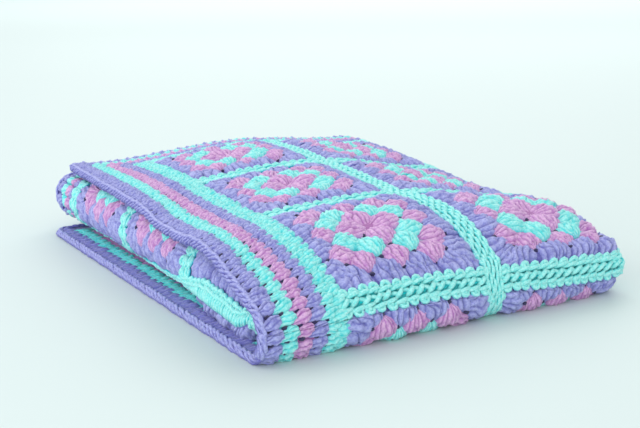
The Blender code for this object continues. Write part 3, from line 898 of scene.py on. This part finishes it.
# Limits between which the noise takes the yarn from dark to light, and the sine of the angle
# round a strand over which it goes from painted shade on its underside to its own colour on top
DYE_LIMITS = (0.38, 0.58)
UNDERSIDE_SHADE_LIMITS = (-0.2, 0.75)
PLY_BUMP = 0.5
FIBRE_BUMP = 0.8
BUMP_HEIGHT = 0.0006


def node(tree, kind, inputs, **settings):
    """New node, each named input with a value or another node's output."""
    made = tree.nodes.new(kind)
    for name, value in settings.items():
        setattr(made, name, value)
    for name, value in inputs.items():
        if isinstance(value, bpy.types.NodeSocket):
            tree.links.new(value, made.inputs[name])
        else:
            made.inputs[name].default_value = value
    return made


def math_of(tree, operation, *values):
    """Output of a calculation from numbers or other nodes' outputs."""
    return node(tree, "ShaderNodeMath", dict(enumerate(values)), operation=operation).outputs[0]


def mixed(tree, low, high, source, limits=(0.0, 1.0)):
    """Colour from low to high as the source goes from one limit to the other."""
    share = node(tree, "ShaderNodeMapRange",
                 {"From Min": limits[0], "From Max": limits[1], "Value": source})
    return node(tree, "ShaderNodeMix", {"Factor": share.outputs["Result"], "A": low, "B": high},
                data_type="RGBA").outputs["Result"]


def surface(name, settings):
    """New material, with the node tree and the shader that it is made of."""
    material = bpy.data.materials.new(name)
    material.use_nodes = True
    shader = material.node_tree.nodes["Principled BSDF"]
    for setting, value in settings.items():
        shader.inputs[setting].default_value = value
    return material, material.node_tree, shader


def yarn_material(name, light, dark, deep):
    """Plied cotton yarn: its twist from the UV map, loose fibres, uneven dye, and the deep colour as
    painted shade on strands' undersides and where the deep attribute asks for it.
    """
    material, tree, shader = surface(name, YARN_SURFACE)
    uv = node(tree, "ShaderNodeUVMap", {}, uv_map="yarn")
    parts = node(tree, "ShaderNodeSeparateXYZ", {0: uv.outputs["UV"]}).outputs
    plies = math_of(tree, "MULTIPLY", parts["Y"], PLIES)
    wave = math_of(tree, "PINGPONG",
                   math_of(tree, "MULTIPLY_ADD", parts["X"], TURNS_A_CM, plies), 0.5)
    upward = math_of(tree, "SINE", math_of(tree, "MULTIPLY", parts["Y"], 2 * math.pi))

    spot = node(tree, "ShaderNodeTexCoord", {}).outputs["Object"]
    fibres, dye = (node(tree, "ShaderNodeTexNoise", {"Vector": spot, **noise}).outputs["Fac"]
                   for noise in (FIBRE_NOISE, DYE_NOISE))
    depth = node(tree, "ShaderNodeAttribute", {}, attribute_name="deep")
    colour = mixed(tree, dark, light, dye, DYE_LIMITS)
    # The deep colour is painted shade: on the underside of each strand, and as much of it as the deep
    # attribute gives
    colour = mixed(tree, deep, colour, upward, UNDERSIDE_SHADE_LIMITS)
    colour = mixed(tree, colour, deep, depth.outputs["Fac"])
    tree.links.new(colour, shader.inputs["Base Color"])

    normal = {}
    for strength, height in ((PLY_BUMP, wave), (FIBRE_BUMP, fibres)):
        bump = node(tree, "ShaderNodeBump",
                    {"Strength": strength, "Distance": BUMP_HEIGHT, "Height": height, **normal})
        normal = {"Normal": bump.outputs["Normal"]}
    tree.links.new(normal["Normal"], shader.inputs["Normal"])
    return material


def linear(red, green, blue):
    """Linear colour, and 1 for its alpha, of an sRGB one, 0 to 255."""
    values = np.array([red, green, blue]) / 255
    values = np.where(values <= 0.04045, values / 12.92, ((values + 0.055) / 1.055) ** 2.4)
    return (*values, 1.0)


# Columns: name, and the light and dark colour of the uneven dye, and the deep colour, which is
# painted shade
YARN_COLOURS = (
    ("yarn_periwinkle", (178, 182, 236), (146, 149, 218), (104, 103, 188)),
    ("yarn_aqua", (176, 249, 245), (132, 237, 234), (10, 218, 224)),
    ("yarn_orchid", (230, 186, 228), (206, 154, 212), (172, 94, 184)),
    # Dark colour of painted shade for the openings
    ("yarn_painted_shade", (52, 48, 92), (46, 42, 84), (40, 36, 76)),
)
# Colours of the cloth under the stitches, columns as above: darker copies of the yarn colours,
# painted shade of the gaps where it is seen
SHADED_GROUND_COLOURS = (
    ("ground_periwinkle_shaded", (112, 110, 190), (98, 96, 178), (98, 96, 178)),
    ("ground_aqua_shaded", (60, 196, 198), (50, 182, 186), (50, 182, 186)),
    ("ground_orchid_shaded", (180, 108, 180), (166, 96, 168), (166, 96, 168)),
)
YARNS, SHADED_GROUNDS = ([yarn_material(name, *(linear(*colour) for colour in colours))
                   for name, *colours in table] for table in (YARN_COLOURS, SHADED_GROUND_COLOURS))


# --- cloth under the stitches

GROUND_HALF = 0.0009
# Its colours: out from a square's centre, and in from the cloth's edge, in centimetres
ROUND_ENDS = ((1.6, PINK), (2.6, MINT), (3.3, PINK), (5.4, PURPLE))
BORDER_ENDS = ((1.35, PURPLE), (2.4, MINT), (3.4, PINK), (4.25, PURPLE))
# Its rows of points. Columns: start, end, steps
GROUND_FLATS = ((0.0, BORDER, 8), (BORDER, RIGHT_TURN, 34), (RIGHT_TURN, 0.300, 10),
                (0.300, 0.440, 12), (0.440, 0.570, 38), (0.570, FLAT_SIDE, 16))
GROUND_ALONGS = ((-HALF_LENGTH, -0.052, 34), (-0.052, 0.024, 26), (0.024, HALF_LENGTH, 58))


def stations(spans):
    """Places along one direction, from spans that meet."""
    return np.concatenate([[spans[0][0]], *(np.linspace(start, end, steps + 1)[1:]
                                            for start, end, steps in spans)])


def banded(value, bands):
    """Colour of the first band that the value lies in, and mint past them all."""
    return np.select([value < end for end, _ in bands], [colour for _, colour in bands], MINT)


def ground_colour(flat, along):
    """Yarn colour of the cloth at a place."""
    edge = np.minimum(np.minimum(flat, FLAT_SIDE - flat), HALF_LENGTH - np.abs(along)) / CM
    across = np.abs(((flat - BORDER) / SQUARE) % 1 - 0.5) * SQUARE / CM
    length = np.abs((along / SQUARE) % 1 - 0.5) * SQUARE / CM
    out = np.maximum(across, length)
    return np.where(edge < BORDER / CM, banded(edge, BORDER_ENDS), banded(out, ROUND_ENDS))


def ground():
    """The closed thin sheet that carries the stitches."""
    flats, alongs = stations(GROUND_FLATS), stations(GROUND_ALONGS)
    flat, along = np.meshgrid(flats, alongs, indexing="ij")
    verts = np.concatenate([
        place(np.stack([flat, along, np.full_like(flat, height)], -1))[0].reshape(-1, 3)
        for height in (GROUND_HALF, -GROUND_HALF)
    ])
    verts = np.column_stack([verts, np.zeros(len(verts))])
    half = flat.size
    index = np.arange(half).reshape(flat.shape)
    ring = np.stack([index[:-1, :-1], index[1:, :-1], index[1:, 1:], index[:-1, 1:]], -1)
    ring = ring.reshape(-1, 4)
    rim = np.concatenate([index[:, 0], index[-1, 1:], index[-2::-1, -1], index[0, -2:0:-1]])
    wall = np.stack([rim + half, np.roll(rim, -1) + half, np.roll(rim, -1), rim], -1)
    quads = np.concatenate([ring, ring[:, ::-1] + half, wall])
    middles = ((places[:-1] + places[1:]) / 2 for places in (flats, alongs))
    colour = ground_colour(*np.meshgrid(*middles, indexing="ij")).ravel()
    slots = np.concatenate([colour, colour, np.full(len(wall), PURPLE)])
    local = np.stack([flat.ravel(), along.ravel()], -1) / CM
    uvs = np.concatenate([local, local])[quads.ravel()]
    # The sheet takes the darker ground colours, which are painted shade
    return mesh_from("granny_cloth", verts, quads, np.zeros((0, 3), int), uvs, SHADED_GROUNDS, slots)


# --- the blanket

LEFT_JOIN = BORDER
LEFT_ROW = BORDER + 0.0040
LEFT_STAGGER = 0.0040
MIDDLE_JOIN = BORDER + SQUARE
RIGHT_JOIN = BORDER + 2 * SQUARE
ROLL_JOIN = BORDER + 4 * SQUARE
BACK_JOIN = 3 * SQUARE
FRONT_SHOWN = -0.046
CROSSING = 0.0055
# Where the stitches end that are not seen, in metres, and how flat the pressed ones lie
JOINS_END = 0.300
SQUARES_END = 0.305
ROLL_START, ROLL_JOINS_START, ROLL_END = 0.490, 0.492, 0.585
INSIDE_END = -0.030
BAND_START = 0.008
ROLL_SQUASH = 0.85
INSIDE_SQUASH = 0.8
BAND_SQUASH = 0.9
SIDE_ROWS = (0, 1, 2)
JOIN_ROWS = (0, 1, 2, 3)

pieces = []


def above_table(flat, along):
    """Whether a stitch lies in the part of the outer panel above the table."""
    return (flat < SQUARES_END) & (along > FRONT_SHOWN)


add("squares_left", squares((0,), SIDE_ROWS))
add("squares_right", squares((1,), SIDE_ROWS))
add("squares_front", squares((0, 1), (-1,), above_table) + squares((2,), range(-1, 3), above_table))
roll = squares((4,), SIDE_ROWS, lambda f, a: f < ROLL_END, ROLL_SQUASH)
roll += squares((3,), SIDE_ROWS, lambda f, a: f > ROLL_START, ROLL_SQUASH)
for row in JOIN_ROWS:
    roll += join("flat", row * SQUARE, ROLL_JOINS_START, ROLL_END, ROLL_SQUASH)
add("squares_roll", roll)
add("border_left", border(0, FRONT_SHOWN, HALF_LENGTH))
add("border_back", border(1, 0.0, JOINS_END)
    + border(1, ROLL_START, ROLL_END, ROLL_SQUASH, 1, BOW_COARSE))
add("border_inside", border(0, -HALF_LENGTH, INSIDE_END, INSIDE_SQUASH, -1, BOW_COARSE))
below = squares((0, 1, 2), (-1,), lambda f, a: (a <= FRONT_SHOWN) & (f < SQUARES_END),
                UNDER_SQUASH, COARSE)
below += squares((0, 1), (-2, -3), squash=UNDER_SQUASH, detail=COARSE)
below += squares((2,), (-2, -3), lambda f, a: f < SQUARES_END, UNDER_SQUASH, COARSE)
below += border(0, -HALF_LENGTH, FRONT_SHOWN, UNDER_SQUASH, 1, BOW_COARSE)
below += border(-1, 0.0, JOINS_END, UNDER_SQUASH, 1, BOW_COARSE)
below += [plain_join("flat", row * SQUARE, BORDER, JOINS_END) for row in (-1, -2, -3)]
below += [plain_join("along", at, -BACK_JOIN, FRONT_SHOWN)
          for at in (LEFT_JOIN, MIDDLE_JOIN, RIGHT_JOIN)]
add("underside", below)
joins = []
for row in JOIN_ROWS:
    for left, right in ((LEFT_JOIN, MIDDLE_JOIN), (MIDDLE_JOIN, RIGHT_JOIN)):
        joins += join("flat", row * SQUARE, left + CROSSING, right - CROSSING)
add("joins_across", joins + join("flat", 0.0, RIGHT_JOIN - CROSSING, JOINS_END))
joins = column_join(MIDDLE_JOIN, FRONT_SHOWN, BACK_JOIN)
joins += column_join(RIGHT_JOIN, CROSSING, BACK_JOIN)
where, onward, inward = run_of("along", LEFT_ROW, FRONT_SHOWN + LEFT_STAGGER, BACK_JOIN,
                               BORDER_PITCH)
joins += bows(where, inward, onward, MINT)
joins += join("along", ROLL_JOIN, BAND_START, BACK_JOIN, BAND_SQUASH, BAND_MIDDLE, (1,),
              BAND_PITCH, JOIN_CORE[:1])
add("joins_along", joins)
add("edges", [edge_run("along", 0.0, 1, INSIDE_END, HALF_LENGTH),
              edge_run("along", FLAT_SIDE, -1, -HALF_LENGTH, HALF_LENGTH),
              edge_run("along", 0.0, 1, -HALF_LENGTH, INSIDE_END, -1),
              edge_run("flat", HALF_LENGTH, -1, 0.0, FLAT_SIDE),
              edge_run("flat", -HALF_LENGTH, 1, 0.0, FLAT_SIDE)])

cloth = ground()
for piece in [cloth, *pieces]:
    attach(piece, "root")
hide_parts("granny_blanket")


# --- camera, floor and light

IMAGE_WIDTH = 640
FOCAL_PIXELS = 1130.3
SENSOR = 36.0
AZIMUTH = 29.83
ELEVATION = 13.05
ROLL = -1.145
DISTANCE = 0.9423
TARGET = Vector((0.1843 - MIDDLE_X, 0.2441 - MIDDLE_Y, 0.020))
CLIP_START, CLIP_END = 0.05, 200.0
FLOOR_REACH = 30.0
FLOOR_SURFACE = {"Base Color": linear(210, 223, 222), "Roughness": 0.6,
                 "Specular IOR Level": 0.2}
WORLD_COLOUR = linear(248, 252, 252)
WORLD_STRENGTH = 0.81
# Lights. Columns: name, place, aim, size, power
LIGHTS = (
    ("key", (1.0, 1.3, 1.4), (0.1, 0.1, 0.0), 2.2, 4.5),
    ("back", (2.9, 4.2, 3.0), (2.2, 2.9, 0.0), 5.0, 135.0),
    ("fill", (-1.2, -1.4, 0.6), (0, 0, 0.03), 1.4, 12.0),
    ("side", (-1.5, 0.5, 0.8), (-0.1, 0.0, 0.03), 1.4, 9.0),
)


def add_camera():
    """Camera at the photograph's viewing angle."""
    azimuth, elevation, roll = (math.radians(v) for v in (AZIMUTH, ELEVATION, ROLL))
    look = Vector((math.sin(azimuth) * math.cos(elevation), math.cos(azimuth) * math.cos(elevation),
                   -math.sin(elevation)))
    level = Vector((math.cos(azimuth), -math.sin(azimuth), 0.0))
    rise = level.cross(look)
    right = level * math.cos(roll) + rise * math.sin(roll)
    up = rise * math.cos(roll) - level * math.sin(roll)
    data = bpy.data.cameras.new("camera")
    data.sensor_width = SENSOR
    data.lens = FOCAL_PIXELS / IMAGE_WIDTH * SENSOR
    data.clip_start, data.clip_end = CLIP_START, CLIP_END
    camera = linked("camera", data)
    frame_matrix = Matrix((right, up, -look)).transposed().to_4x4()
    frame_matrix.translation = TARGET - look * DISTANCE
    camera.matrix_world = frame_matrix
    bpy.context.scene.camera = camera


def add_floor():
    """Plain pale floor that reaches past the top of the view."""
    data = bpy.data.meshes.new("floor")
    corners = ((-1, -1, 0), (1, -1, 0), (1, 1, 0), (-1, 1, 0))
    data.from_pydata([Vector(corner) * FLOOR_REACH for corner in corners], [], [(0, 1, 2, 3)])
    data.materials.append(surface("floor", FLOOR_SURFACE)[0])
    floor = linked("floor", data)


add_camera()
add_floor()
for name, place_at, aim, size, power in LIGHTS:
    data = bpy.data.lights.new(name, "AREA")
    data.size, data.energy = size, power
    light = linked(name, data)
    light.location = place_at
    light.rotation_euler = (Vector(aim) - Vector(place_at)).to_track_quat("-Z", "Y").to_euler()
world = bpy.data.worlds.new("studio")
world.use_nodes = True
backdrop = world.node_tree.nodes["Background"]
backdrop.inputs["Color"].default_value = WORLD_COLOUR
backdrop.inputs["Strength"].default_value = WORLD_STRENGTH
bpy.context.scene.world = world
bpy.context.scene.view_settings.view_transform = "Standard"
